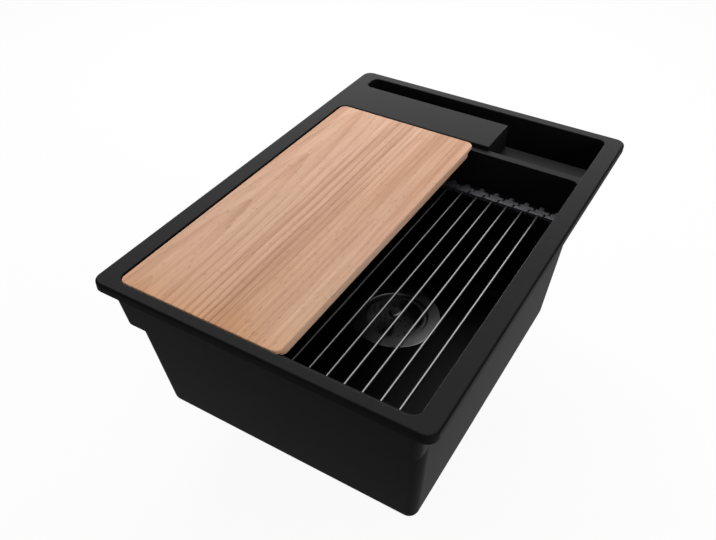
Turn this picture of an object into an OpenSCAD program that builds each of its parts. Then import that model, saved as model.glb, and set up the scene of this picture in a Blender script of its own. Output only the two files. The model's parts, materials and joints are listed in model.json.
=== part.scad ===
// Inset kitchen sink with a tap deck, a caddy tray and slot, a sliding cutting board,
// a roll-up drying rack, a basket strainer waste and an overflow. Millimetres.
// The origin is the centre of the plane in which the rim's underside lies on the worktop.
// +X runs along the short front edge to the right, +Y from the front to the back, +Z up.
// A depth is counted down from the top face of the rim.

/* [Rim] */
// Overall width of the rim, left to right
rim_w = 362; // [350:1:400]
// Overall length of the rim, front to back
rim_l = 520; // [505:1:560]
// Thickness of the rim
rim_t = 10; // [9:0.5:14]
// Corner radius of the rim, seen from above
rim_corner_r = 12; // [8:0.5:18]
// Width of the rim's top face at the sides
rim_side_w = 21; // [19:0.5:26]
// Width of the rim's top face at the front
rim_front_w = 13.2; // [12.6:0.1:16]
// Width of the rim's top face at the back
rim_back_w = 14; // [13:0.5:18]
// How far the rim stands out past the shell at the sides
side_overhang = 12.6; // [10:0.1:13]
// How far the rim stands out past the shell at the front and the back
end_overhang = 6.4; // [6:0.1:7]

/* [Shell] */
// Height from the top of the rim to the underside of the bowl
body_h = 195; // [180:1:230]
// Thickness of the bowl's floor
floor_t = 9; // [8:0.5:12]
// Thickness of the walls below the rack ledge and round the deck
wall_t = 8.2; // [7:0.2:10]
// Draft of the side walls in degrees
side_draft = 4.8; // [3:0.1:5.5]
// Draft of the front wall in degrees
front_draft = 7.5; // [5:0.1:8]
// Draft of the back walls and of the inner upper walls in degrees
back_draft = 2.4; // [1:0.1:3]
// Depth of the step under the upper shell
step_depth = 56.5; // [56:0.5:59]
// How far the lower bowl is set in from the upper shell at the front
step_in = 11.2; // [10:0.1:13]
// Distance from the rim's back edge to the bowl's back wall, at the underside
back_zone = 124.8; // [122:0.2:130]
// Radius of the upright corners of the shell and the bowl
corner_r = 10; // [8:0.5:12]
// Radius of the bowl's bottom edges
bottom_r = 11; // [8:0.5:14]

/* [Ledges] */
// Depth of the upper ledge that carries the cutting board
board_ledge_depth = 5; // [4:0.1:6]
// Width of the upper ledge at the front
front_ledge_w = 4.8; // [4:0.1:6]
// Width of the wall top between bowl and tray, which is the upper ledge at the back
divider_w = 9.5; // [9:0.1:12]
// Depth of the lower ledge that carries the drying rack
rack_ledge_depth = 51; // [49:0.5:51.5]
// Corner radius of the opening, seen from above
opening_r = 11; // [8:0.5:12]

/* [Deck, tray and slot] */
// Length of the tap deck, front to back
deck_l = 60.4; // [58:0.2:64]
// Width of the tap deck from the left side of the opening
deck_w = 204.5; // [190:0.5:230]
// Width of the slot, front to back
slot_l = 25.8; // [22:0.2:30]
// Depth of the slot
slot_depth = 48; // [40:0.5:49]
// Depth of the caddy tray
tray_depth = 30; // [24:0.5:34]
// Corner radius of the slot, seen from above
slot_r = 8; // [4:0.5:10]
// Diameter of the tap hole, sunk from below and left closed by a thin skin
tap_hole_d = 35; // [32:0.5:36]
// Thickness of the skin over the tap hole
tap_skin = 4; // [3:0.5:6]

/* [Rim seal] */
// Width of the sealing cord under the rim
seal_w = 3; // [2:0.1:3.4]
// Height of the sealing cord
seal_h = 2; // [1.5:0.1:3]
// Distance from the rim's edge to the cord's groove
seal_inset = 1.6; // [1:0.1:2]

/* [Cutting board] */
// Width of the cutting board, left to right
board_w = 184.2; // [150:0.1:185]
// Thickness of the cutting board
board_t = 11; // [9:0.5:11.5]
// How much tighter the board's corners are than the opening's
board_tighter = 1.6; // [-4:0.2:2]
// Gap between the board and the opening at the front and the back
board_gap = 0.6; // [0.4:0.1:1]
// Gap between the board and the left side of the opening
board_side_gap = 1.8; // [1.5:0.1:3]

/* [Drying rack] */
// Distance between neighbouring rods
rod_pitch = 19; // [16.5:0.1:21]
// Diameter of a rod
rod_d = 3; // [2.4:0.1:3.2]
// Distance of the last rod from the right wall, at the ledge
rack_right_gap = 10.3; // [10:0.1:14]
// Smallest distance of the first rod from the left wall, at the ledge
rack_left_gap = 16; // [15.5:0.5:30]
// Thickness of the silicone links
link_t = 5; // [4.8:0.1:5.4]
// Width of the sleeve round the end of a rod
sleeve_w = 7; // [6.6:0.1:9]
// Length of a link, along the rod
socket_l = 17; // [14:0.5:20]
// Gap between a link's body and the hinge tab of the next link
link_gap = 1; // [0.8:0.1:2.5]
// How far the hinge tabs are set in from the end of the link
tab_inset = 6; // [4:0.2:6.4]
// Length of one hinge tab, along the rod
tab_l = 5.2; // [5:0.2:10]
// Diameter of the moulded hinge pin
hinge_pin_d = 2.2; // [2:0.1:2.4]
// Gap between the rack and the upper walls at the front
rack_front_gap = 1.5; // [1:0.1:3]
// Gap between the rack and the upper wall at the back
rack_back_gap = 8; // [2:0.5:9]

/* [Strainer waste] */
// Distance of the drain behind the middle of the rim
drain_y = 24; // [0:1:30]
// Diameter of the drain hole in the bowl's floor
drain_hole_d = 90; // [88:1:94]
// Diameter of the strainer flange
flange_d = 112; // [110:1:118]
// Thickness of the pressed steel of the flange
flange_t = 1.5; // [1.2:0.1:2]
// Thickness of the rubber ring under the flange
flange_seal_t = 1.5; // [1:0.1:2]
// Outer diameter of the flange's dish
dish_d = 83; // [80:0.5:85]
// Depth of the flange's dish
dish_h = 31; // [28:1:36]
// Number of outlet holes in the dish
outlet_holes = 6; // [5:1:6]
// Thickness of the rubber ring between the bowl and the waste body
waste_seal_t = 3; // [2:0.5:4]
// Outer diameter of the waste body
waste_d = 101; // [98:1:106]
// Wall of the waste body and of the other plastic fittings
fitting_t = 3; // [2.5:0.1:3.5]
// Height of the waste body without its outlet
waste_h = 46; // [42:1:54]
// Diameter of the outlet thread
outlet_d = 47.8; // [46:0.1:50]
// Length of the outlet thread
outlet_l = 24; // [18:1:30]
// Diameter of the clamp screw
clamp_d = 6; // [5:0.5:6]

/* [Basket] */
// Outer diameter of the basket's cup
basket_d = 72; // [66:0.5:73]
// Height of the basket's cup
basket_h = 20; // [16:0.5:20]
// Thickness of the basket's steel
basket_sheet = 0.9; // [0.8:0.1:1.2]
// Number of slots in the basket's wall
basket_slots = 24; // [12:1:28]
// Height of the rubber plug under the basket
plug_h = 8; // [6.5:0.5:8]
// Diameter of the basket's knob
knob_d = 16; // [12:1:20]
// How far the knob stands up past the basket's lip
knob_rise = 10; // [0:0.5:12]

/* [Overflow] */
// Distance of the overflow from the sink's middle, to the left
overflow_left = 80; // [70:1:100]
// Depth of the overflow's centre
overflow_depth = 86; // [84:1:94]
// Diameter of the overflow hole
overflow_hole_d = 36; // [34:1:38]
// Diameter of the overflow cover and of the elbow's flange
overflow_cover_d = 50; // [48:1:52]
// Outer diameter of the overflow pipe
pipe_d = 25; // [22:0.5:26]
// Wall of the overflow pipe
pipe_t = 1.6; // [1.4:0.1:2]
// Bend radius of the overflow pipe, on its axis
pipe_bend_r = 34; // [30:1:40]
// Distance of the pipe's axis behind the elbow's flange
pipe_back = 26; // [25:0.5:32]

/* [Hidden] */
roll_count = 4;         // rods at the right end that roll up

$fn = 48;
hull_fn = 32;           // facets of the rounded corners that a hull joins
cut = 1;                // how far a cut runs past the face that it opens
disc_h = 0.2;           // height of the discs that a hull spans
seat_gap = 0.3;         // clearance round pieces that are laid in
fit_gap = 0.1;          // clearance, on the radius, round pins, screws and stems
lane_gap = 0.3;         // side clearance between the tabs of two links

// --- levels: heights above the worktop of the depths that several parts share
function level(depth) = rim_t - depth;
floor_depth = body_h - floor_t;

// --- plan lines of the opening, the deck, the tray and the slot
opening_hw = rim_w / 2 - rim_side_w;
opening_front = -rim_l / 2 + rim_front_w;
opening_back = rim_l / 2 - rim_back_w;
slot_front = opening_back - slot_l;
deck_front = slot_front - deck_l;
deck_right = deck_w - opening_hw;
divider_front = deck_front - divider_w;
tray_left_r = 3;
cavity_front = divider_front + wall_t;
cavity_back = slot_front - wall_t;
tap_y = (cavity_front + cavity_back) / 2;

// --- drafted wall faces, as functions of the depth
function shell_hw(d) = rim_w / 2 - side_overhang - d * tan(side_draft);
function shell_front(d) = -rim_l / 2 + end_overhang + d * tan(front_draft);
function shell_back(d) = rim_l / 2 - end_overhang - d * tan(back_draft);
function low_front(d) = shell_front(d) + step_in;
function low_back(d) = rim_l / 2 - back_zone + (body_h - d) * tan(back_draft);
function bowl_hw(d) = opening_hw - (d - board_ledge_depth) * tan(side_draft);
function bowl_front_up(d) =
    opening_front + front_ledge_w + (d - board_ledge_depth) * tan(back_draft);
function bowl_back_up(d) = divider_front - (d - board_ledge_depth) * tan(back_draft);
function bowl_front_low(d) = low_front(d) + wall_t;
function bowl_back_low(d) = low_back(d) - wall_t;

// --- cutting board
board_drop = 0.2;       // the board's top lies this much below the rim's top
board_step_gap = 1;     // room between the steps under the board's ends and the upper walls
board_r = corner_r - board_tighter;

// --- drying rack
link_z = level(rack_ledge_depth - link_t / 2);
rack_hw = bowl_hw(rack_ledge_depth);
rack_right = rack_hw - rack_right_gap;
rod_count = floor((rack_right + rack_hw - rack_left_gap) / rod_pitch) + 1;
rack_front = bowl_front_up(rack_ledge_depth) + rack_front_gap;
rack_back = bowl_back_up(rack_ledge_depth) - rack_back_gap;
rod_gap = 0.05;         // clearance, on the radius, round a rod in its socket
socket_end = 2;         // closed end of a rod's socket
rod_embed = socket_l - socket_end;
pin_l = 5;              // how far a hinge pin reaches into its bore
body_w = rod_pitch - link_t - 2 * link_gap;
function rod_x(i) = rack_right - rod_pitch * i;

// --- strainer waste
recess_h = flange_t + flange_seal_t;
recess_r = flange_d / 2 + seat_gap;
dish_floor = level(floor_depth + dish_h);
dish_r = dish_d / 2;
outlet_hole_r = 7;
outlet_ring_r = 24;
waste_top = level(body_h + waste_seal_t);
waste_r = waste_d / 2;
waste_in_r = waste_r - fitting_t;
waste_flange_r = flange_d / 2;
waste_flange_t = fitting_t + 1;
outlet_r = outlet_d / 2;
seal_margin = 0.5;      // the rubber rings lie this much inside the faces that press them
boss_r = 7;
boss_gap = 2;           // the boss ends this far under the dish
boss_top = dish_floor - flange_t - boss_gap;
web_h = 12;
web_drop = 2;           // the webs' top lies this much below the boss
screw_head_h = 3;
screw_head_r = clamp_d;
screw_slot_w = 1.6;
screw_slot_h = 1;
screw_bore_l = 26;
screw_end_gap = 4;      // room left in the bore under the screw
basket_top = dish_floor + plug_h + basket_h;
basket_lip_r = dish_r - flange_t - 2 * seat_gap;
basket_lip_t = 1;
basket_r = basket_d / 2;
basket_slot_w = 2;
basket_slot_margin = 4; // solid band above and below the basket's slots
base_ring_r = 9;        // the rings of holes in the basket's base start outside this radius
base_ring_pitch = 6;
base_hole_r = 1.6;
plug_hole_r = screw_head_r + 3;
plug_seal_r = outlet_ring_r + outlet_hole_r + 2;
plug_seal_h = 3;
plug_top_t = 2;
plug_land = 3;          // width of the plug's flat top round its hole
stem_r = 2.5;
stem_foot_t = 1;
knob_h = 6;
knob_edge = 2;          // the knob's rounded edge, across and
knob_edge_h = 1.5;      // along its axis

// --- overflow
overflow_x = -overflow_left;
overflow_z = level(overflow_depth);
face_margin = 1.2;      // the drafted wall is faced flat by this much round the overflow
face_r = overflow_cover_d / 2 + 1;
face_in = bowl_back_low(overflow_depth) + face_margin;
face_out = low_back(overflow_depth) - face_margin;
cover_t = 1.5;
cover_spigot_h = 3;     // the cover's rim behind its plate centres it in the hole
cover_ring_in = 7;      // the cover's holes lie this far inside the overflow hole's edge
cover_hole_r = 4;
cover_hole_count = 6;
cover_screw_r = 2.5;
cover_screw_head_r = 4.5;
cover_screw_head_h = 2;
cover_screw_in = 6;     // how far the screw reaches into the elbow's boss
cover_screw_bore_l = 10;
cover_boss_r = 5;
overflow_seal_t = 2;
flange_back = face_out + overflow_seal_t;
elbow_flange_t = 4;
elbow_r = overflow_hole_d / 2 - 1;
pipe_y = flange_back + pipe_back;
pipe_r = pipe_d / 2;
pipe_gap = 0.15;        // clearance, on the radius, round the pipe and under the nuts
spigot_bore_r = pipe_r + pipe_gap;
spigot_r = spigot_bore_r + fitting_t;
spigot_l = 34;
pipe_stop = 18;         // how far below the elbow's axis the pipe's upper end sits
elbow_floor = 6;        // the elbow's bore ends this far below its axis
inlet_drop = 1;         // the side inlet lies this far under the waste body's flange
pipe_run_z = waste_top - waste_flange_t - inlet_drop - spigot_r;
waste_dx = -overflow_x;
waste_dy = drain_y - pipe_y;
pipe_span = norm([waste_dx, waste_dy]);
pipe_turn = atan2(waste_dy, waste_dx);
inlet_l = 28;           // length of the waste body's side inlet past its wall
pipe_in = 20;           // how deep the pipe goes into the inlet
nut_sides = 8;
nut_wall = 4;
nut_h = 15;
nut_lip = 3;

// A block with upright rounded corners
module slab(x0, x1, y0, y1, z0, z1, r) {
    translate([x0 + r, y0, z0]) cube([x1 - x0 - 2 * r, y1 - y0, z1 - z0]);
    translate([x0, y0 + r, z0]) cube([x1 - x0, y1 - y0 - 2 * r, z1 - z0]);
    for (x = [x0 + r, x1 - r], y = [y0 + r, y1 - r])
        translate([x, y, z0]) cylinder(r = r, h = z1 - z0);
}

// A drafted block between two levels. Each rectangle is [half width, front, back] there.
// The top level carries a straight collar that rises by collar_h.
module tapered(top, z_top, low, z_low, r, collar_h) {
    hull() {
        for (x = [-top[0] + r, top[0] - r], y = [top[1] + r, top[2] - r])
            translate([x, y, z_top]) cylinder(r = r, h = collar_h, $fn = hull_fn);
        for (x = [-low[0] + r, low[0] - r], y = [low[1] + r, low[2] - r])
            translate([x, y, z_low]) cylinder(r = r, h = disc_h, $fn = hull_fn);
    }
}

// The same with a rounded bottom edge: low is the rectangle at the level where the walls
// meet the rounding, and z_low is the level of the flat bottom
module tapered_round(top, z_top, low, z_low, r, collar_h) {
    side_in = r / cos(side_draft);
    hull() {
        for (x = [-top[0] + r, top[0] - r], y = [top[1] + r, top[2] - r])
            translate([x, y, z_top]) cylinder(r = r, h = collar_h, $fn = hull_fn);
        // a faceted ball's lowest ring lies nearer to its middle than its radius
        for (x = [-low[0] + side_in, low[0] - side_in],
             y = [low[1] + r / cos(front_draft), low[2] - r / cos(back_draft)])
            translate([x, y, z_low + r * cos(180 / hull_fn)]) sphere(r = r, $fn = hull_fn);
    }
}

// --- one-piece moulding -------------------------------------------------------------------

module shell_outside() {
    slab(-rim_w / 2, rim_w / 2, -rim_l / 2, rim_l / 2, 0, rim_t, rim_corner_r);
    tapered([shell_hw(rim_t), shell_front(rim_t), shell_back(rim_t)], 0,
            [shell_hw(step_depth), shell_front(step_depth), shell_back(step_depth)],
            level(step_depth), corner_r, cut);
    d_low = body_h - bottom_r;
    tapered_round([shell_hw(step_depth), low_front(step_depth), low_back(step_depth)],
                  level(step_depth), [shell_hw(d_low), low_front(d_low), low_back(d_low)],
                  level(body_h), bottom_r, cut);
}

module opening_cuts() {
    top = rim_t + cut;
    slab(-opening_hw, opening_hw, opening_front, deck_front, level(board_ledge_depth), top,
         opening_r);
    // the right end of the ledge opens straight into the tray
    translate([deck_right, divider_front, level(board_ledge_depth)])
        cube([opening_hw - deck_right, divider_w + deck_l / 2, board_ledge_depth + cut]);
    slab(deck_right, opening_hw - 2 * slot_r, deck_front, opening_back, level(tray_depth), top,
         tray_left_r);
    slab(deck_right + slot_r, opening_hw, deck_front, opening_back, level(tray_depth), top, slot_r);
    slab(-opening_hw, opening_hw, slot_front, opening_back, level(slot_depth), top, slot_r);
}

module bowl_cuts() {
    d_top = board_ledge_depth;
    d_mid = rack_ledge_depth;
    d_low = floor_depth - bottom_r;
    tapered([bowl_hw(d_top), bowl_front_up(d_top), bowl_back_up(d_top)], level(d_top),
            [bowl_hw(d_mid), bowl_front_up(d_mid), bowl_back_up(d_mid)], level(d_mid),
            corner_r, cut);
    tapered_round([bowl_hw(d_mid), bowl_front_low(d_mid), bowl_back_low(d_mid)], level(d_mid),
                  [bowl_hw(d_low), bowl_front_low(d_low), bowl_back_low(d_low)],
                  level(floor_depth), bottom_r, cut);
}

module underside_cuts() {
    low = level(step_depth) - cut;
    cavity_hw = shell_hw(step_depth) - wall_t;
    cavity_l = cavity_back - cavity_front;
    // hollow under the tap deck, where the tap's nut and hoses go
    translate([-cavity_hw, cavity_front, low])
        cube([cavity_hw + deck_right - wall_t, cavity_l, -low]);
    // shallower hollow under the tray
    translate([deck_right - wall_t - cut, cavity_front, low])
        cube([cavity_hw - deck_right + wall_t + cut, cavity_l, level(tray_depth + wall_t) - low]);
    translate([0, tap_y, -cut]) cylinder(d = tap_hole_d, h = rim_t - tap_skin + cut);
}

module fitting_cuts() {
    at_drain(level(floor_depth + recess_h)) cylinder(r = recess_r, h = recess_h + cut);
    at_drain(level(body_h) - cut) cylinder(d = drain_hole_d, h = floor_t + 2 * cut);
    facing = 4 * face_margin;
    at_overflow(face_in - facing) cylinder(r = face_r, h = facing);
    at_overflow(face_out) cylinder(r = face_r, h = facing);
    at_overflow(face_in - cut) cylinder(d = overflow_hole_d, h = face_out - face_in + 2 * cut);
}

// A ring that runs round under the rim, inset from its edge
module rim_ring(inset, width, z0, z1) {
    difference() {
        slab(-rim_w / 2 + inset, rim_w / 2 - inset, -rim_l / 2 + inset, rim_l / 2 - inset,
             z0, z1, rim_corner_r - inset);
        inner = inset + width;
        slab(-rim_w / 2 + inner, rim_w / 2 - inner, -rim_l / 2 + inner, rim_l / 2 - inner,
             z0 - cut, z1 + cut, rim_corner_r - inner);
    }
}

module sink_body() {
    color([0.16, 0.16, 0.165])
        difference() {
            shell_outside();
            opening_cuts();
            bowl_cuts();
            underside_cuts();
            fitting_cuts();
            rim_ring(seal_inset, seal_w, -cut, seal_h);
        }
}

module rim_seal() {
    color([0.35, 0.35, 0.36]) rim_ring(seal_inset, seal_w, 0, seal_h);
}

// --- cutting board ------------------------------------------------------------------------

module cutting_board() {
    left = -opening_hw + board_side_gap;
    right = left + board_w;
    front = opening_front + board_gap;
    back = deck_front - 2 * board_gap;
    top = rim_t - board_drop;
    tongue_z = level(board_ledge_depth);
    color([0.80, 0.66, 0.55]) {
        // both ends are thinned from below, and these tongues lie on the ledges
        slab(left, right, front, back, tongue_z, top, board_r);
        slab(left, right, front + front_ledge_w + board_step_gap,
             back - divider_w - board_step_gap, top - board_t, tongue_z + cut, board_r);
    }
}

// --- drying rack --------------------------------------------------------------------------

module rod(i) {
    front = rack_front + socket_l - rod_embed;
    back = rack_back - socket_l + rod_embed;
    color([0.72, 0.72, 0.73])
        translate([rod_x(i), front, link_z])
            rotate([-90, 0, 0]) cylinder(d = rod_d, h = back - front);
}

// One hinge tab along +Y from y = 0. It runs from the link's middle out to its hinge at x = reach
module tab(reach) {
    side = sign(reach);
    translate([side > 0 ? 0 : reach, 0, -link_t / 2]) cube([abs(reach), tab_l, link_t]);
    translate([reach, 0, 0]) rotate([-90, 0, 0]) cylinder(d = link_t, h = tab_l);
}

// A silicone link whose outer end is at y = 0 and which reaches inwards along +Y.
// The outer tab goes right and has the bore, the inner tab goes left and has the pin.
// Where there is no next link, the sleeve's round side is the rack's free end.
module link(has_right, has_left) {
    reach = rod_pitch / 2;
    inner_y = tab_inset + tab_l + lane_gap;
    round_x = (sleeve_w - link_t) / 2;
    flat_left = has_left ? body_w / 2 : round_x;
    flat_right = has_right ? body_w / 2 : round_x;
    difference() {
        union() {
            for (x = [-round_x, round_x])
                translate([x, 0, 0]) rotate([-90, 0, 0]) cylinder(d = link_t, h = socket_l);
            translate([-round_x, 0, -link_t / 2]) cube([2 * round_x, socket_l, link_t]);
            translate([-flat_left, tab_inset, -link_t / 2])
                cube([flat_left + flat_right, socket_l - tab_inset, link_t]);
            if (has_right) translate([0, tab_inset, 0]) tab(reach);
            if (has_left) translate([0, inner_y, 0]) tab(-reach);
        }
        translate([0, socket_l - rod_embed, 0])
            rotate([-90, 0, 0]) cylinder(r = rod_d / 2 + rod_gap, h = rod_embed + inner_y + cut);
        if (has_right)
            translate([reach, tab_inset - cut, 0])
                rotate([-90, 0, 0]) cylinder(r = hinge_pin_d / 2 + fit_gap, h = tab_l + 2 * cut);
    }
    if (has_left)
        translate([-reach, inner_y - lane_gap - pin_l, 0])
            rotate([-90, 0, 0]) cylinder(d = hinge_pin_d, h = pin_l + lane_gap + cut);
}

module end_link(i, at_back) {
    color([0.20, 0.20, 0.22])
        translate([rod_x(i), at_back ? rack_back : rack_front, link_z])
            mirror([0, at_back ? 1 : 0, 0]) link(i > 0, i < rod_count - 1);
}

module rack_rods() {
    for (i = [roll_count : rod_count - 1]) rod(i);
}

module rack_links(at_back) {
    for (i = [roll_count : rod_count - 1]) end_link(i, at_back);
}

// --- strainer waste -----------------------------------------------------------------------

module at_drain(z) {
    translate([0, drain_y, z]) children();
}

module strainer_flange() {
    top = level(floor_depth);
    color([0.75, 0.75, 0.76])
        difference() {
            union() {
                at_drain(top - flange_t) cylinder(d = flange_d, h = flange_t);
                at_drain(dish_floor - flange_t) cylinder(r = dish_r, h = dish_h + flange_t);
            }
            at_drain(dish_floor) cylinder(r = dish_r - flange_t, h = dish_h + cut);
            at_drain(dish_floor - flange_t - cut) {
                cylinder(r = clamp_d / 2 + 2 * fit_gap, h = flange_t + 2 * cut);
                for (i = [0 : outlet_holes - 1])
                    rotate([0, 0, i * 360 / outlet_holes]) translate([outlet_ring_r, 0, 0])
                        cylinder(r = outlet_hole_r, h = flange_t + 2 * cut);
            }
        }
}

module ring(outer_r, inner_r, h) {
    difference() {
        cylinder(r = outer_r, h = h);
        translate([0, 0, -cut]) cylinder(r = inner_r, h = h + 2 * cut);
    }
}

module flange_seal() {
    color([0.10, 0.10, 0.10])
        at_drain(level(floor_depth + recess_h))
            ring(flange_d / 2 - seal_margin, drain_hole_d / 2 + seal_margin, flange_seal_t);
}

module waste_seal() {
    color([0.10, 0.10, 0.10]) at_drain(waste_top) ring(waste_flange_r, waste_in_r, waste_seal_t);
}

// Turns the children's +Z to the side inlet's direction, away from the waste body
module at_inlet(radius) {
    at_drain(pipe_run_z)
        rotate([0, 0, pipe_turn + 180]) translate([radius, 0, 0]) rotate([0, 90, 0]) children();
}

module waste_body() {
    bottom = waste_top - waste_h;
    boss_low = bottom + fitting_t - 1;
    color([0.90, 0.90, 0.90])
        difference() {
            union() {
                difference() {
                    union() {
                        at_drain(waste_top - waste_flange_t)
                            cylinder(r = waste_flange_r, h = waste_flange_t);
                        at_drain(bottom) cylinder(r = waste_r, h = waste_h);
                        at_drain(bottom - outlet_l) cylinder(r = outlet_r, h = outlet_l + cut);
                        at_inlet(0) cylinder(r = spigot_r, h = waste_r + inlet_l);
                    }
                    at_drain(bottom + fitting_t) cylinder(r = waste_in_r, h = waste_h);
                    at_drain(bottom - outlet_l - cut)
                        cylinder(r = outlet_r - fitting_t, h = outlet_l + fitting_t + 2 * cut);
                }
                // three webs carry the screw boss over the outlet
                at_drain(boss_low) cylinder(r = boss_r, h = boss_top - boss_low);
                for (i = [0 : 2])
                    at_drain(boss_top - web_drop - web_h)
                        rotate([0, 0, pipe_turn + 120 * i])
                            translate([boss_r - 1, -fitting_t / 2, 0])
                                cube([waste_r - boss_r, fitting_t, web_h]);
            }
            at_drain(boss_top - screw_bore_l)
                cylinder(r = clamp_d / 2 + fit_gap / 2, h = screw_bore_l + cut);
            at_inlet(waste_in_r - fitting_t) cylinder(r = pipe_r - pipe_t, h = waste_r);
            at_inlet(waste_r + inlet_l - pipe_in) cylinder(r = spigot_bore_r, h = pipe_in + cut);
        }
}

module clamp_screw() {
    screw_low = boss_top - screw_bore_l + screw_end_gap;
    color([0.78, 0.78, 0.79]) {
        at_drain(dish_floor)
            difference() {
                cylinder(r = screw_head_r, h = screw_head_h);
                translate([-screw_head_r, -screw_slot_w / 2, screw_head_h - screw_slot_h])
                    cube([2 * screw_head_r, screw_slot_w, screw_slot_h + cut]);
            }
        at_drain(screw_low) cylinder(d = clamp_d, h = dish_floor - screw_low + cut);
    }
}

// --- basket -------------------------------------------------------------------------------

module basket_cup() {
    base = basket_top - basket_h;
    slot_reach = 3;
    color([0.75, 0.75, 0.76])
        difference() {
            union() {
                at_drain(base) cylinder(r = basket_r, h = basket_h);
                at_drain(basket_top - basket_lip_t) cylinder(r = basket_lip_r, h = basket_lip_t);
            }
            at_drain(base + basket_sheet) cylinder(r = basket_r - basket_sheet, h = basket_h);
            at_drain(base - cut) cylinder(r = stem_r + fit_gap, h = basket_sheet + 2 * cut);
            for (i = [0 : basket_slots - 1])
                at_drain(base + basket_slot_margin)
                    rotate([0, 0, i * 360 / basket_slots])
                        translate([basket_r - slot_reach, -basket_slot_w / 2, 0])
                            cube([2 * slot_reach, basket_slot_w, basket_h - 2 * basket_slot_margin]);
            for (k = [1 : 3], i = [0 : 6 * k + 1])
                at_drain(base - cut)
                    rotate([0, 0, i * 360 / (6 * k + 2)])
                        translate([base_ring_r + base_ring_pitch * k, 0, 0])
                            cylinder(r = base_hole_r, h = basket_sheet + 2 * cut);
        }
}

module basket_plug() {
    color([0.10, 0.10, 0.10])
        at_drain(dish_floor)
            difference() {
                union() {
                    cylinder(r = plug_seal_r, h = plug_seal_h);
                    translate([0, 0, plug_seal_h])
                        cylinder(r1 = plug_seal_r, r2 = plug_hole_r + plug_land,
                                 h = plug_h - plug_seal_h);
                }
                translate([0, 0, -cut]) cylinder(r = plug_hole_r, h = plug_h - plug_top_t + cut);
                cylinder(r = stem_r + fit_gap, h = plug_h + cut);
            }
}

module basket_knob() {
    stem_low = dish_floor + plug_h - plug_top_t - stem_foot_t;
    knob_top = basket_top + knob_rise;
    knob_r = knob_d / 2;
    color([0.78, 0.78, 0.79]) {
        at_drain(stem_low) cylinder(r = stem_r, h = knob_top - cut - stem_low);
        at_drain(knob_top - knob_h)
            rotate_extrude()
                polygon([[0, 0], [knob_r - knob_edge, 0], [knob_r, knob_edge_h],
                         [knob_r, knob_h - knob_edge_h], [knob_r - knob_edge, knob_h], [0, knob_h]]);
        // the foot holds the plug under the basket
        at_drain(stem_low) cylinder(r = plug_hole_r - plug_top_t, h = stem_foot_t);
    }
}

// --- overflow -----------------------------------------------------------------------------

// Turns the children's +Z to +Y, away from the bowl, at the overflow's centre
module at_overflow(y) {
    translate([overflow_x, y, overflow_z]) rotate([-90, 0, 0]) children();
}

module overflow_cover() {
    hole_ring_r = overflow_hole_d / 2 - cover_ring_in;
    spigot_out_r = overflow_hole_d / 2 - seal_margin;
    color([0.75, 0.75, 0.76])
        at_overflow(face_in - cover_t)
            difference() {
                union() {
                    cylinder(d = overflow_cover_d, h = cover_t);
                    cylinder(r = spigot_out_r, h = cover_t + cover_spigot_h);
                }
                translate([0, 0, cover_t]) cylinder(r = spigot_out_r - 1, h = cover_spigot_h + cut);
                translate([0, 0, -cut]) cylinder(r = cover_screw_r + fit_gap, h = cover_t + 2 * cut);
                for (i = [0 : cover_hole_count - 1])
                    rotate([0, 0, i * 360 / cover_hole_count]) translate([hole_ring_r, 0, -cut])
                        cylinder(r = cover_hole_r, h = cover_t + 2 * cut);
            }
}

module overflow_screw() {
    under_head = face_in - cover_t;
    color([0.78, 0.78, 0.79])
        at_overflow(under_head - cover_screw_head_h) {
            cylinder(r = cover_screw_head_r, h = cover_screw_head_h);
            cylinder(r = cover_screw_r,
                     h = cover_screw_head_h + flange_back + cover_screw_in - under_head);
        }
}

module overflow_seal() {
    color([0.10, 0.10, 0.10])
        at_overflow(face_out) ring(overflow_cover_d / 2, overflow_hole_d / 2, overflow_seal_t);
}

// The lower end of the elbow's spigot, or a height over it
module at_spigot(z) {
    translate([overflow_x, pipe_y, overflow_z - spigot_l + z]) children();
}

module overflow_elbow() {
    body_l = pipe_back + spigot_r;
    color([0.90, 0.90, 0.90])
        difference() {
            union() {
                at_overflow(flange_back) cylinder(d = overflow_cover_d, h = elbow_flange_t);
                at_overflow(flange_back) cylinder(r = elbow_r, h = body_l);
                at_spigot(0) cylinder(r = spigot_r, h = spigot_l);
            }
            difference() {
                at_overflow(flange_back - cut)
                    cylinder(r = elbow_r - fitting_t, h = body_l - fitting_t + cut);
                // the boss for the cover's screw stands on the back wall
                at_overflow(flange_back + 1) cylinder(r = cover_boss_r, h = body_l);
            }
            at_overflow(flange_back)
                cylinder(r = cover_screw_r + fit_gap / 2, h = cover_screw_bore_l);
            at_spigot(-cut) cylinder(r = spigot_bore_r, h = spigot_l - pipe_stop + cut);
            at_spigot(-cut) cylinder(r = pipe_r - pipe_t, h = spigot_l - elbow_floor + cut);
        }
}

module tube(length) {
    ring(pipe_r, pipe_r - pipe_t, length);
}

module overflow_pipe() {
    upper_z = overflow_z - pipe_stop;
    bend_z = pipe_run_z + pipe_bend_r;
    run = pipe_span - pipe_bend_r - (waste_r + inlet_l - pipe_in);
    color([0.88, 0.88, 0.88])
        translate([overflow_x, pipe_y, 0]) rotate([0, 0, pipe_turn]) {
            translate([0, 0, bend_z]) tube(upper_z - bend_z);
            translate([pipe_bend_r, 0, bend_z]) rotate([90, 0, 0]) rotate([0, 0, 180])
                rotate_extrude(angle = 90)
                    translate([pipe_bend_r, 0]) difference() {
                        circle(r = pipe_r);
                        circle(r = pipe_r - pipe_t);
                    }
            translate([pipe_bend_r, 0, pipe_run_z]) rotate([0, 90, 0]) tube(run);
        }
}

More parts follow.
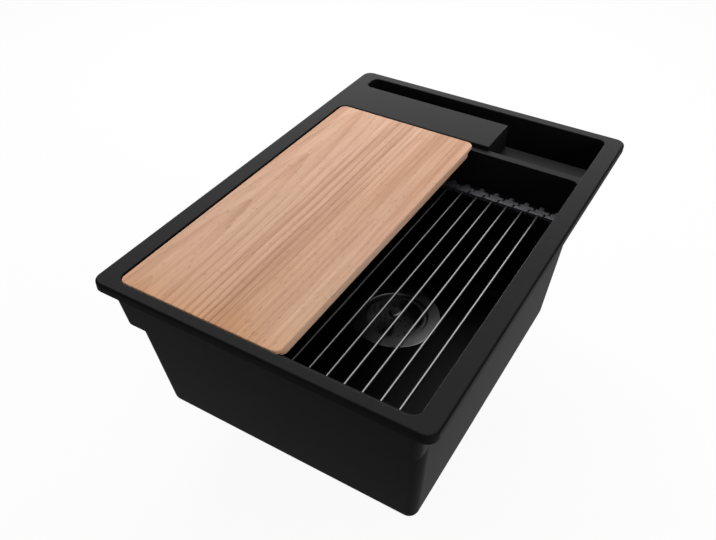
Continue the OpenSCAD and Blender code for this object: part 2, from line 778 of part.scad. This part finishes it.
// A compression nut: it wraps the spigot from z = 0 up and its lip lies round the pipe below z = 0
module pipe_nut() {
    difference() {
        translate([0, 0, -nut_lip])
            cylinder(r = (spigot_r + nut_wall) / cos(180 / nut_sides), h = nut_h + nut_lip,
                     $fn = nut_sides);
        cylinder(r = spigot_r + pipe_gap, h = nut_h + cut);
        translate([0, 0, -nut_lip - cut]) cylinder(r = spigot_bore_r, h = nut_lip + 2 * cut);
    }
}

module pipe_nut_upper() {
    color([0.85, 0.85, 0.85]) at_spigot(0) pipe_nut();
}

module pipe_nut_lower() {
    color([0.85, 0.85, 0.85])
        at_inlet(waste_r + inlet_l) mirror([0, 0, 1]) pipe_nut();
}

sink_body();
rim_seal();
cutting_board();
rack_rods();
rack_links(false);  // rack_front_links
rack_links(true);  // rack_back_links
// the rolling rods are numbered from the flat part of the rack outwards
for (i = [1 : roll_count]) {
    rod(roll_count - i);
    end_link(roll_count - i, false);
    end_link(roll_count - i, true);
}
strainer_flange();
flange_seal();
waste_seal();
waste_body();
clamp_screw();
basket_cup();
basket_plug();
basket_knob();
overflow_cover();
overflow_screw();
overflow_seal();
overflow_elbow();
overflow_pipe();
pipe_nut_upper();
pipe_nut_lower();
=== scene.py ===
# %% [markdown]
# # A workstation kitchen sink
# The sink is moulded in one piece from black stone composite. A beech board and a roll-up
# rack of steel rods lie on its ledges, and a basket waste and an overflow hang under it.
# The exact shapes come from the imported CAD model. This lesson dresses that frame: it rounds
# the edges that a mould, a plane or a press leaves round, and gives each piece a procedural
# finish. It adds no new forms. Lengths are in metres.

# %% load the frame
import json
import math
import bmesh
import bpy
from mathutils import Euler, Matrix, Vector


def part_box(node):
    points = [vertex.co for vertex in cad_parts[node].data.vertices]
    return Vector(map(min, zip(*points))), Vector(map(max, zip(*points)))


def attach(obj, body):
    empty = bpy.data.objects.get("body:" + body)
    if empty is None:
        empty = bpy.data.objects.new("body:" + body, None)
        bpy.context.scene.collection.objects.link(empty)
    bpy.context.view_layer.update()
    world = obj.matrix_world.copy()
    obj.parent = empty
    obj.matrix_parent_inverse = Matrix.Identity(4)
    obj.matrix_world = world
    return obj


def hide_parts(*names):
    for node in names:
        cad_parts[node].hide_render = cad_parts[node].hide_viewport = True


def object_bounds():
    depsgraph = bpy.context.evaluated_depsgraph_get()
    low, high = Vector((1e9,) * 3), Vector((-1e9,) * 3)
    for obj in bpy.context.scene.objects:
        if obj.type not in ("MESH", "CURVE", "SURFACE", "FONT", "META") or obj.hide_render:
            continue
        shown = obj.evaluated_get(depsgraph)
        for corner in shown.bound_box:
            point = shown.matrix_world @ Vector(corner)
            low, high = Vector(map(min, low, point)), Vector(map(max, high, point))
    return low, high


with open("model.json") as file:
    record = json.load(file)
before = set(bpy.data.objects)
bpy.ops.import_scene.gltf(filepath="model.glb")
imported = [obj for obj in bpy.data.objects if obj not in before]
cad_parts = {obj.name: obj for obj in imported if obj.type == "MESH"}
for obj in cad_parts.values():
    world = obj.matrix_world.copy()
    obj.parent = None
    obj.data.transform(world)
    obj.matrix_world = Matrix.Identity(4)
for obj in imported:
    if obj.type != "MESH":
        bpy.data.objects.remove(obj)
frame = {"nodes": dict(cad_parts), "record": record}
CAD_BOX = [list(corner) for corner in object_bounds()]
NODES = frame["nodes"]
BODY_OF = {node: body
           for body, members in frame["record"]["behaviour"]["bodies"].items()
           for node in members}
SLOT_OF = {part["node"]: part["material_slot"] for part in frame["record"]["subparts"]}
COLOUR_OF = {row["slot"]: row["base_color"] for row in frame["record"]["materials"]}
MM = 0.001
print("nodes", len(NODES), "box", CAD_BOX)

# %% [markdown]
# ## Camera
# The camera stands where the photographer stood: to the front right and about forty degrees
# above the rim. Its place and turn come from lining up the rim's four corners, and the lens
# from the way the long sides run together. Depth of field stays off.

# %% camera
CAMERA_PLACE = (0.31444, -0.60403, 0.48605)
CAMERA_TURN = (49.9406, -0.4504, 30.8006)
LENS = 38.74
SENSOR_WIDTH = 36.0

camera_data = bpy.data.cameras.new("camera")
camera_data.sensor_width = SENSOR_WIDTH
camera_data.lens = LENS
camera = bpy.data.objects.new("camera", camera_data)
camera.location = CAMERA_PLACE
camera.rotation_euler = Euler([math.radians(a) for a in CAMERA_TURN])
bpy.context.scene.collection.objects.link(camera)
bpy.context.scene.camera = camera
print("lens", LENS, "mm at", CAMERA_PLACE)

# %% [markdown]
# ## Light and ground
# Black composite shows its form by what it mirrors, so lighting and mirroring are set apart.
# softbox_back, high up at the back left, gives most of the light, and softbox_right lights
# the side wall. Both are hidden from mirror rays. sheen_panel stands behind softbox_back and
# is larger and brighter, but only mirror rays see it: it gives the deck its sheen and lights
# nothing. What the sink mirrors is therefore not what lights it. That is a choice made for
# this picture, and a real studio has one lamp for both.
#
# The ground is pale. Camera and mirror rays see it mixed with plain white, so that the
# picture fades to white but the sink's shadow stays. For the rays that light, it is a mid
# grey, so that it throws less light back up at the walls.

# %% lamps
def softbox(name, place, target, width, height, radiance, lights=True, mirrored=True):
    """An area lamp of even brightness that faces its target. It may light, be mirrored or both."""
    lamp = bpy.data.lights.new(name, "AREA")
    lamp.shape = "RECTANGLE"
    lamp.size, lamp.size_y = width, height
    lamp.energy = radiance * math.pi * width * height
    holder = bpy.data.objects.new(name, lamp)
    holder.location = place
    holder.rotation_euler = (Vector(target) - Vector(place)).to_track_quat("-Z", "Y").to_euler()
    holder.visible_camera = False
    holder.visible_diffuse = lights
    holder.visible_glossy = mirrored
    bpy.context.scene.collection.objects.link(holder)
    print(name, "gives", round(lamp.energy, 1), "W")


softbox("softbox_back", (-0.52, 0.85, 0.92), (0.0, 0.0, 0.0), 1.4, 1.15, 3.9, mirrored=False)
softbox("sheen_panel", (-0.60, 0.98, 1.05), (0.0, 0.0, 0.0), 2.4, 2.3, 9.0, lights=False)
softbox("softbox_right", (1.5, -0.35, 0.34), (0.0, 0.0, -0.05), 0.9, 0.9, 4.2, mirrored=False)

# %% world
WORLD_LIGHT = 0.35


def seen_rays(tree):
    """A factor that is 1 for camera, mirror and glass rays and 0 for the rays that light."""
    path = tree.nodes.new("ShaderNodeLightPath")
    total = path.outputs["Is Camera Ray"]
    for kind in ("Is Glossy Ray", "Is Transmission Ray"):
        larger = tree.nodes.new("ShaderNodeMath")
        larger.operation = "MAXIMUM"
        tree.links.new(total, larger.inputs[0])
        tree.links.new(path.outputs[kind], larger.inputs[1])
        total = larger.outputs[0]
    return total


world = bpy.data.worlds.new("studio")
world.use_nodes = True
bpy.context.scene.world = world
tree = world.node_tree
tree.nodes.clear()
dim = tree.nodes.new("ShaderNodeBackground")
dim.inputs["Color"].default_value = (1.0, 1.0, 1.0, 1.0)
dim.inputs["Strength"].default_value = WORLD_LIGHT
white = tree.nodes.new("ShaderNodeBackground")
white.inputs["Color"].default_value = (1.0, 1.0, 1.0, 1.0)
white.inputs["Strength"].default_value = 1.0
either = tree.nodes.new("ShaderNodeMixShader")
out = tree.nodes.new("ShaderNodeOutputWorld")
tree.links.new(seen_rays(tree), either.inputs[0])
tree.links.new(dim.outputs[0], either.inputs[1])
tree.links.new(white.outputs[0], either.inputs[2])
tree.links.new(either.outputs[0], out.inputs["Surface"])
bpy.context.scene.view_settings.view_transform = "Standard"
print("world light", WORLD_LIGHT)

# %% ground
GROUND_HALF = 6.0
GROUND_DROP = 1 * MM
GROUND_GREY = 0.35
GROUND_PAPER = 0.9
GROUND_WHITE_SHARE = 0.93

bm = bmesh.new()
bmesh.ops.create_grid(bm, x_segments=1, y_segments=1, size=GROUND_HALF)
bmesh.ops.translate(bm, verts=bm.verts, vec=(0, 0, CAD_BOX[0][2] - GROUND_DROP))
ground_mesh = bpy.data.meshes.new("ground")
bm.to_mesh(ground_mesh)
bm.free()
ground = bpy.data.objects.new("ground", ground_mesh)
bpy.context.scene.collection.objects.link(ground)

pale = bpy.data.materials.new("pale_ground")
pale.use_nodes = True
tree = pale.node_tree
tree.nodes.clear()
paper = tree.nodes.new("ShaderNodeBsdfDiffuse")
paper.inputs["Color"].default_value = (GROUND_PAPER, GROUND_PAPER, GROUND_PAPER, 1.0)
grey = tree.nodes.new("ShaderNodeBsdfDiffuse")
grey.inputs["Color"].default_value = (GROUND_GREY, GROUND_GREY, GROUND_GREY, 1.0)
glow = tree.nodes.new("ShaderNodeEmission")
glow.inputs["Strength"].default_value = 1.0
lifted = tree.nodes.new("ShaderNodeMixShader")
lifted.inputs[0].default_value = GROUND_WHITE_SHARE
either = tree.nodes.new("ShaderNodeMixShader")
out = tree.nodes.new("ShaderNodeOutputMaterial")
tree.links.new(paper.outputs[0], lifted.inputs[1])
tree.links.new(glow.outputs[0], lifted.inputs[2])
tree.links.new(seen_rays(tree), either.inputs[0])
tree.links.new(grey.outputs[0], either.inputs[1])
tree.links.new(lifted.outputs[0], either.inputs[2])
tree.links.new(either.outputs[0], out.inputs["Surface"])
ground.data.materials.append(pale)
print("ground at", round(CAD_BOX[0][2] - GROUND_DROP, 4))

# %% [markdown]
# ## Finishes
# Each finish is a small node tree on a Principled shader, to which the composite adds a
# glossy layer of its own. Patterns read Object coordinates,
# so they sit still in the piece and are the same size on every piece. Colour differences
# are slight: a real surface is recognised more by how its gloss and its small bumps vary.
# The helpers below add one node each, which keeps the trees short to read.

# %% helpers for finishes
def finish(name, roughness, metallic=0.0, specular=0.5):
    """A new Principled material. Sockets that are the same all over are set right here."""
    material = bpy.data.materials.new(name)
    material.use_nodes = True
    shader = material.node_tree.nodes["Principled BSDF"]
    shader.inputs["Roughness"].default_value = roughness
    shader.inputs["Metallic"].default_value = metallic
    shader.inputs["Specular IOR Level"].default_value = specular
    return material, material.node_tree, shader


def placed(tree, scale=(1, 1, 1), turn=(0, 0, 0), move=(0, 0, 0)):
    """Object coordinates, moved, turned and stretched by a Mapping node."""
    coords = tree.nodes.new("ShaderNodeTexCoord")
    mapping = tree.nodes.new("ShaderNodeMapping")
    mapping.inputs["Scale"].default_value = scale
    mapping.inputs["Rotation"].default_value = [math.radians(a) for a in turn]
    mapping.inputs["Location"].default_value = move
    tree.links.new(coords.outputs["Object"], mapping.inputs["Vector"])
    return mapping.outputs[0]


def noise(tree, vector, scale, detail=2.0):
    """A smooth random pattern; scale is the number of patches in a metre."""
    node = tree.nodes.new("ShaderNodeTexNoise")
    node.inputs["Scale"].default_value = scale
    node.inputs["Detail"].default_value = detail
    tree.links.new(vector, node.inputs["Vector"])
    return node.outputs["Fac"]


def ramp(tree, value, stops):
    """Turns a value into a colour through a row of (place, colour) stops."""
    node = tree.nodes.new("ShaderNodeValToRGB")
    ends = node.color_ramp.elements
    while len(ends) < len(stops):
        ends.new(0.5)
    for end, (place, colour) in zip(ends, stops):
        end.position = place
        end.color = (*colour, 1.0)
    tree.links.new(value, node.inputs["Fac"])
    return node.outputs["Color"]


def blend(tree, share, first, second, mode="MIX"):
    """Mixes two colours. The share and either colour may be a number, a tuple or a link."""
    node = tree.nodes.new("ShaderNodeMix")
    node.data_type = "RGBA"
    node.blend_type = mode
    for socket, given in zip((node.inputs[0], node.inputs[6], node.inputs[7]),
                             (share, first, second)):
        if isinstance(given, bpy.types.NodeSocket):
            tree.links.new(given, socket)
        elif isinstance(given, tuple):
            socket.default_value = (*given, 1.0)
        else:
            socket.default_value = given
    return node.outputs[2]


def spread(tree, value, low, high):
    """Maps a 0 to 1 pattern to a range, for roughness."""
    node = tree.nodes.new("ShaderNodeMapRange")
    node.inputs["To Min"].default_value = low
    node.inputs["To Max"].default_value = high
    tree.links.new(value, node.inputs["Value"])
    return node.outputs[0]


def bump(tree, shader, height, depth, strength=1.0):
    """Small relief from a pattern; depth is its real height."""
    node = tree.nodes.new("ShaderNodeBump")
    node.inputs["Distance"].default_value = depth
    node.inputs["Strength"].default_value = strength
    tree.links.new(height, node.inputs["Height"])
    tree.links.new(node.outputs[0], shader.inputs["Normal"])


def shade(colour, factor):
    """A colour made lighter or darker by a factor."""
    return tuple(min(channel * factor, 1.0) for channel in colour)


print("slots", sorted(COLOUR_OF))

# %% [markdown]
# ### Composite
# The moulding is quartz sand in black resin. From a step away it is an even soft black;
# close up it has grains of half a millimetre, some a little lighter, and a pebbled skin.
# The grains are one noise through a steep ramp, and the skin a coarser one as bump.
#
# The Principled shader's own gloss is off, because at a grazing angle it mirrors the white
# ground too strongly for this dull skin. A Glossy shader takes its place. Layer Weight's
# Facing, raised to a power, sets its share: almost none head on, and a little at the edge,
# less than a real dielectric would show. The base is darker than the record's colour.

# %% composite
COMPOSITE_BLACK = (0.008, 0.008, 0.0084)
GRAINS_PER_METRE = 1900
CLOUDS_PER_METRE = 22
PEBBLES_PER_METRE = 1100
PEBBLE_HEIGHT = 0.04 * MM
CLOUD_SHARE = 0.25
GLOSS_HEAD_ON = 0.002
GLOSS_GRAZING = 0.13
GLOSS_POWER = 5.0
GLOSS_ROUGHNESS = (0.34, 0.44)

composite, tree, shader = finish("granite_composite", 0.6, specular=0.0)
base = COMPOSITE_BLACK
grain = noise(tree, placed(tree), GRAINS_PER_METRE, 3)
cloud = noise(tree, placed(tree), CLOUDS_PER_METRE, 2)
speckle = ramp(tree, grain, [(0.30, shade(base, 0.55)), (0.52, shade(base, 0.85)),
                             (0.66, shade(base, 1.3)), (0.74, shade(base, 3.5))])
clouded = ramp(tree, cloud, [(0.3, shade(base, 0.7)), (0.7, shade(base, 1.2))])
tree.links.new(blend(tree, CLOUD_SHARE, speckle, clouded), shader.inputs["Base Color"])
bump(tree, shader, noise(tree, placed(tree), PEBBLES_PER_METRE, 4), PEBBLE_HEIGHT)

gloss = tree.nodes.new("ShaderNodeBsdfGlossy")
tree.links.new(spread(tree, cloud, *GLOSS_ROUGHNESS), gloss.inputs["Roughness"])
tree.links.new(shader.inputs["Normal"].links[0].from_socket, gloss.inputs["Normal"])
facing = tree.nodes.new("ShaderNodeLayerWeight")
steep = tree.nodes.new("ShaderNodeMath")
steep.operation = "POWER"
steep.inputs[1].default_value = GLOSS_POWER
tree.links.new(facing.outputs["Facing"], steep.inputs[0])
share = spread(tree, steep.outputs[0], GLOSS_HEAD_ON, GLOSS_GRAZING)
coated = tree.nodes.new("ShaderNodeMixShader")
tree.links.new(share, coated.inputs[0])
tree.links.new(shader.outputs[0], coated.inputs[1])
tree.links.new(gloss.outputs[0], coated.inputs[2])
tree.links.new(coated.outputs[0], tree.nodes["Material Output"].inputs["Surface"])
print("composite", [round(c, 3) for c in base])

# %% [markdown]
# ### Beech
# The board is cut along the trunk. Its growth rings are long, nearly parallel cylinders that
# the board's plane cuts at a slight angle, which draws straight lines at the edges and
# pointed arches where the cut runs out of a ring. A Wave texture in ring mode, tilted a
# little and bent by noise, gives that figure. On it lie fine fibres and the short dark
# flecks by which beech is known, and the staves from which the board is glued differ
# slightly in tone. The figure is strongest in the middle of the width, where the plank lay
# nearest the heart, and the front end of the board is darker and more orange.

# %% beech
STAVE_WIDTH = 62 * MM
STAVE_START = 0.45              # where the first joint lies, in widths of a stave
PITH = (0.131, 0, 0.030)
TILT = 20
RINGS = 46
RING_STRETCH = 0.16             # below 1, the rings run out along the board
RING_BEND = 5.0
RING_PERIOD = 1000 * math.pi / 10   # a Wave texture of scale 1 repeats after this many mm
FIBRE_DEPTH = 0.05 * MM
STREAK_SHARE = 0.4
FIBRE_SHARE = 0.22

board_low, board_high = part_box("cutting_board")
board_size = board_high - board_low


def along(tree, axis, stops):
    """A colour that changes across the board; its stops are shares of the board's width."""
    split = tree.nodes.new("ShaderNodeSeparateXYZ")
    unit = [1 / board_size[k] for k in (0, 1, 2)]
    start = [-board_low[k] / board_size[k] for k in (0, 1, 2)]
    tree.links.new(placed(tree, unit, move=start), split.inputs[0])
    return ramp(tree, split.outputs[axis], stops)


def grey(value):
    """A share written as a colour, because a ramp gives colours."""
    return (value, value, value)


beech, tree, shader = finish("beech", 0.6, specular=0.0)
pale = (0.74, 0.50, 0.37)
warm = (0.60, 0.325, 0.200)
dark = (0.33, 0.135, 0.080)

rings = tree.nodes.new("ShaderNodeTexWave")
rings.wave_type = "RINGS"
rings.rings_direction = "Y"
rings.wave_profile = "SAW"
rings.inputs["Scale"].default_value = RINGS
rings.inputs["Distortion"].default_value = RING_BEND
rings.inputs["Detail"].default_value = 2
rings.inputs["Detail Scale"].default_value = 0.35
tree.links.new(placed(tree, (1, RING_STRETCH, 1), (TILT, 0, 0), PITH), rings.inputs["Vector"])
figure = ramp(tree, rings.outputs["Fac"], [(0.0, pale), (0.50, shade(pale, 0.96)),
                                           (0.88, dark), (1.0, shade(dark, 0.8))])
streaks = noise(tree, placed(tree, (1, 0.025, 1)), 85, 3)
bands = noise(tree, placed(tree, (1, 0.05, 1), (0, 0, 2)), 26, 2)
fibres = noise(tree, placed(tree, (1, 0.012, 1)), 1500, 3)
flecks = noise(tree, placed(tree, (1, 0.11, 1)), 900, 1)

ground_tone = ramp(tree, bands, [(0.40, warm), (0.56, pale)])
where_figured = along(tree, "X", [(0.0, grey(0.50)), (0.24, grey(0.55)), (0.36, grey(1.0)),
                                  (0.58, grey(1.0)), (0.70, grey(0.35)), (1.0, grey(0.30))])
band_share = ramp(tree, bands, [(0.36, grey(0.85)), (0.64, grey(0.45))])
ring_share = blend(tree, 1.0, where_figured, band_share, "MULTIPLY")
toned = blend(tree, ring_share, ground_tone, figure)
streak_tone = ramp(tree, streaks, [(0.33, shade(warm, 0.72)), (0.64, shade(pale, 1.12))])
streaked = blend(tree, STREAK_SHARE, toned, streak_tone)
fibre_tone = ramp(tree, fibres, [(0.35, shade(warm, 0.62)), (0.65, shade(pale, 1.2))])
fine = blend(tree, FIBRE_SHARE, streaked, fibre_tone)
fleck_share = ramp(tree, flecks, [(0.66, grey(0.0)), (0.74, grey(0.45))])
flecked = blend(tree, fleck_share, fine, shade(dark, 0.7))
# The front end of the board is made darker and more orange, fading out over the first third of its
# length.
front_tone = along(tree, "Y", [(0.0, (1.0, 0.90, 0.76)), (0.10, (1.0, 0.97, 0.92)),
                        (0.35, (1.0, 1.0, 1.0))])
front_toned = blend(tree, 1.0, flecked, front_tone, "MULTIPLY")

split = tree.nodes.new("ShaderNodeSeparateXYZ")
stave_place = placed(tree, (1 / STAVE_WIDTH,) * 3, move=(STAVE_START, 0, 0))
tree.links.new(stave_place, split.inputs[0])
stave = tree.nodes.new("ShaderNodeMath")
stave.operation = "FLOOR"
tree.links.new(split.outputs["X"], stave.inputs[0])
tone = tree.nodes.new("ShaderNodeTexWhiteNoise")
tone.noise_dimensions = "1D"
tree.links.new(stave.outputs[0], tone.inputs["W"])
stave_tone = ramp(tree, tone.outputs["Value"],
                  [(0.0, (0.95, 0.92, 0.90)), (1.0, (1.0, 1.0, 1.0))])
tree.links.new(blend(tree, 1.0, front_toned, stave_tone, "MULTIPLY"), shader.inputs["Base Color"])
tree.links.new(spread(tree, streaks, 0.44, 0.60), shader.inputs["Roughness"])
bump(tree, shader, fibres, FIBRE_DEPTH, 0.6)
print("growth rings", round(RING_PERIOD / RINGS, 1), "mm apart")

# %% [markdown]
# ### Steel, rubber and plastic
# Drawn rods are satin along their length, so their gloss varies in fine lines that run with
# Y. The pressed drain parts have coarser lines, drawn out along Z: they run down the upright
# walls, and level faces look finely mottled. Both steels are made darker than the record's
# colour to match the picture, the rods much darker, and in other light they will look darker
# than real steel. Silicone and rubber are matt and dark with a faint haze. The fittings under
# the bowl are moulded in pale polypropylene, whose surface has a slight orange peel.

# %% steel
ROD_TONE = 0.09
DRAIN_TONE = 0.35
BRUSHED_DEPTH = 0.01 * MM


def steel(name, slot, tone, stretch, lines, rough):
    """Satin steel whose gloss varies along a stretched noise. The tone sets how dark it is."""
    material, tree, shader = finish(name, 0.3, metallic=1.0)
    colour = shade(COLOUR_OF[slot], tone)
    brushed = noise(tree, placed(tree, stretch), lines, 3)
    tree.links.new(ramp(tree, brushed, [(0.3, shade(colour, 0.86)), (0.7, shade(colour, 1.08))]),
                   shader.inputs["Base Color"])
    tree.links.new(spread(tree, brushed, *rough), shader.inputs["Roughness"])
    bump(tree, shader, brushed, BRUSHED_DEPTH, 0.5)
    print(name, "has", lines, "lines in a metre")
    return material


rod_steel = steel("rod_steel", "rod_steel", ROD_TONE, (1, 0.02, 1), 2600, (0.30, 0.42))
drain_steel = steel("drain_steel", "drain_steel", DRAIN_TONE, (1, 1, 0.05), 1400,
                    (0.24, 0.42))

# %% rubber and plastic
def moulded(name, slot, roughness, specular, peel, depth):
    """A matt moulded finish: faint clouds in the colour, haze in the gloss, fine relief."""
    material, tree, shader = finish(name, roughness, specular=specular)
    colour = tuple(COLOUR_OF[slot])
    haze = noise(tree, placed(tree), 60, 3)
    tree.links.new(ramp(tree, haze, [(0.3, shade(colour, 0.88)), (0.7, shade(colour, 1.1))]),
                   shader.inputs["Base Color"])
    tree.links.new(spread(tree, haze, roughness - 0.06, roughness + 0.08),
                   shader.inputs["Roughness"])
    bump(tree, shader, noise(tree, placed(tree), peel, 2), depth)
    print(name, "roughness", roughness)
    return material


FINISH_OF = {
    "granite_composite": composite,
    "board_wood": beech,
    "rod_steel": rod_steel,
    "drain_steel": drain_steel,
    "silicone": moulded("silicone", "silicone", 0.55, 0.4, 1500, 0.02 * MM),
    "seal_rubber": moulded("seal_rubber", "seal_rubber", 0.6, 0.35, 1200, 0.02 * MM),
    "seal_cord": moulded("seal_cord", "seal_cord", 0.85, 0.2, 2600, 0.08 * MM),
    "fitting_plastic": moulded("fitting_plastic", "fitting_plastic", 0.42, 0.5, 320, 0.03 * MM),
}
print("finishes", len(FINISH_OF))

# %% [markdown]
# ## From a CAD node to a finished piece
# A CAD node is a skin of loose triangles with sharp edges. A copy is welded, its flat faces
# are joined again, and then the edges that the maker rounds are bevelled. Whole sets of
# edges are chosen by where they lie and by whether they stand out or turn in, because a
# bevel that takes a complete loop in one go closes its corners cleanly.

# %% helpers for shaping
WELD = 0.001 * MM
FLAT = math.radians(0.3)
SHARP = math.radians(28)


def opened(node):
    """A mesh to edit, made from a copy of a CAD node: welded, with its flat faces joined."""
    bm = bmesh.new()
    bm.from_mesh(NODES[node].data)
    bmesh.ops.remove_doubles(bm, verts=bm.verts, dist=WELD)
    bmesh.ops.dissolve_limit(bm, angle_limit=FLAT, verts=bm.verts, edges=bm.edges)
    return bm


def sharp_edges(bm, where=None, convex=None):
    """Edges between faces that meet at an angle, picked by place and by which way they turn."""
    return [edge for edge in bm.edges
            if edge.is_manifold and edge.calc_face_angle() > SHARP
            and (convex is None or edge.is_convex == convex)
            and (where is None or all(where(v.co) for v in edge.verts))]


def round_off(bm, edges, radius, segments=3):
    """Rounds edges. The defaults differ from the editor's, so each choice is written out."""
    bmesh.ops.bevel(bm, geom=edges, offset=radius, offset_type="OFFSET", segments=segments,
                    profile=0.5, affect="EDGES", clamp_overlap=False, material=-1,
                    loop_slide=True)
    return len(edges)


def made(name, bm, nodes):
    """Turns an edited mesh into a piece that stands for its CAD nodes and moves with them."""
    for face in bm.faces:
        face.smooth = True
    for edge in bm.edges:
        edge.smooth = edge.is_manifold and edge.calc_face_angle() < SHARP
    mesh = bpy.data.meshes.new(name)
    bm.to_mesh(mesh)
    bm.free()
    piece = bpy.data.objects.new(name, mesh)
    bpy.context.scene.collection.objects.link(piece)
    even = piece.modifiers.new("even_shading", "WEIGHTED_NORMAL")
    even.keep_sharp = True
    slot = SLOT_OF[nodes[0]]
    mesh.materials.append(FINISH_OF[slot])
    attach(piece, BODY_OF[nodes[0]])
    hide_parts(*nodes)
    print(name, "has", len(mesh.polygons), "faces and rides on", BODY_OF[nodes[0]])
    return piece


print("welds points closer than", WELD / MM, "mm")

# %% [markdown]
# ## The moulding
# A composite sink has no knife edges: resin does not fill them and they would chip. The
# rim's upper outer edge has the largest rounding, the other edges level with the rim's top a
# smaller one, and the rim's lower outer edge a slight one. Everything else stays as the CAD
# model has it, also the corners between floor and wall and the holes for the drain and the
# overflow, which a real sink would have filled and eased.

# %% moulded body
RIM_ROUND = 2.6 * MM
EDGE_ROUND = 1.3 * MM
UNDER_RIM_ROUND = 0.6 * MM
OUTER_SHARE = 0.96

_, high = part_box("sink_body")
half_w, half_l, top = high.x, high.y, high.z
near = 0.05 * MM


def on_top(p):
    return abs(p.z - top) < near


def outermost(p):
    return max(abs(p.x) / half_w, abs(p.y) / half_l) > OUTER_SHARE


def under_rim(p):
    return abs(p.z) < near and outermost(p)


bm = opened("sink_body")
counts = []
for where, radius, segments in ((lambda p: on_top(p) and outermost(p), RIM_ROUND, 5),
                                (lambda p: on_top(p) and not outermost(p), EDGE_ROUND, 3),
                                (under_rim, UNDER_RIM_ROUND, 2)):
    counts.append(round_off(bm, sharp_edges(bm, where, True), radius, segments))
print("rounded edges", counts)
made("moulded_sink", bm, ["sink_body"])

# %% [markdown]
# ## The board
# The board is planed and its edges are sanded round, so that it can be gripped and does not
# splinter. One bevel over all its outer edges does that.

# %% cutting board
BOARD_ROUND = 1.2 * MM

bm = opened("cutting_board")
round_off(bm, sharp_edges(bm, convex=True), BOARD_ROUND, 3)
made("beech_board", bm, ["cutting_board"])

# %% [markdown]
# ## The rack
# Each rod is stuck at both ends in a silicone link. Soft silicone leaves the mould with
# small roundings, which also draw the thin dark lines between neighbouring links. The links
# of one body are one piece, so the twelve flat rods need two, and each rolling rod has its
# own pair.

# %% rods and links
LINK_ROUND = 0.45 * MM
ROD_EASE = 0.25 * MM

for node in NODES:
    if node.endswith("_rods") or "_rod_" in node:
        bm = opened(node)
        round_off(bm, sharp_edges(bm, convex=True), ROD_EASE, 2)
        made("steel_" + node, bm, [node])
    elif "_link" in node:
        bm = opened(node)
        round_off(bm, sharp_edges(bm, convex=True), LINK_ROUND, 2)
        made("silicone_" + node, bm, [node])

# %% [markdown]
# ## The strainer and its basket
# The flange is pressed from sheet, so its mouth rolls over into the dish with a generous
# radius, and its outer rim is only eased. The basket, the waste and the overflow get one
# small rounding each, over all the edges that stand out.

# %% strainer flange
MOUTH_ROUND = 2.2 * MM
SHEET_EASE = 0.4 * MM
MOUTH_SHARE = 0.85              # the mouth's edges lie within this share of the flange's radius
RIM_SHARE = 0.95                # and the rim's beyond this one

flange_low, flange_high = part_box("strainer_flange")
drain = (flange_low + flange_high) / 2


def off_axis(p):
    return math.hypot(p.x - drain.x, p.y - drain.y)


flange_r = flange_high.x - drain.x
bm = opened("strainer_flange")
mouth = sharp_edges(bm, lambda p: p.z > flange_high.z - near
                    and off_axis(p) < MOUTH_SHARE * flange_r, True)
round_off(bm, mouth, MOUTH_ROUND, 4)
rim = sharp_edges(bm, lambda p: off_axis(p) > RIM_SHARE * flange_r, True)
round_off(bm, rim, SHEET_EASE, 2)
made("drain_flange", bm, ["strainer_flange"])

# %% basket, plug, knob and waste
ROUNDING_MM = {
    "basket_cup": 0.25, "basket_plug": 0.6, "basket_knob": 0.7, "clamp_screw": 0.3,
    "waste_body": 0.6, "overflow_cover": 0.4, "overflow_screw": 0.5, "overflow_elbow": 0.6,
    "pipe_nut_upper": 0.7, "pipe_nut_lower": 0.7, "overflow_pipe": 0.3, "rim_seal": 0.5,
    "flange_seal": 0.3, "waste_seal": 0.5, "overflow_seal": 0.4,
}

for node, rounding in ROUNDING_MM.items():
    bm = opened(node)
    round_off(bm, sharp_edges(bm, convex=True), rounding * MM, 2)
    made("dressed_" + node, bm, [node])

# %% [markdown]
# ## The end
# Dressing must not change the object's size. The last line prints that the
# dressing is done.

# %% finish
print("dressing done")
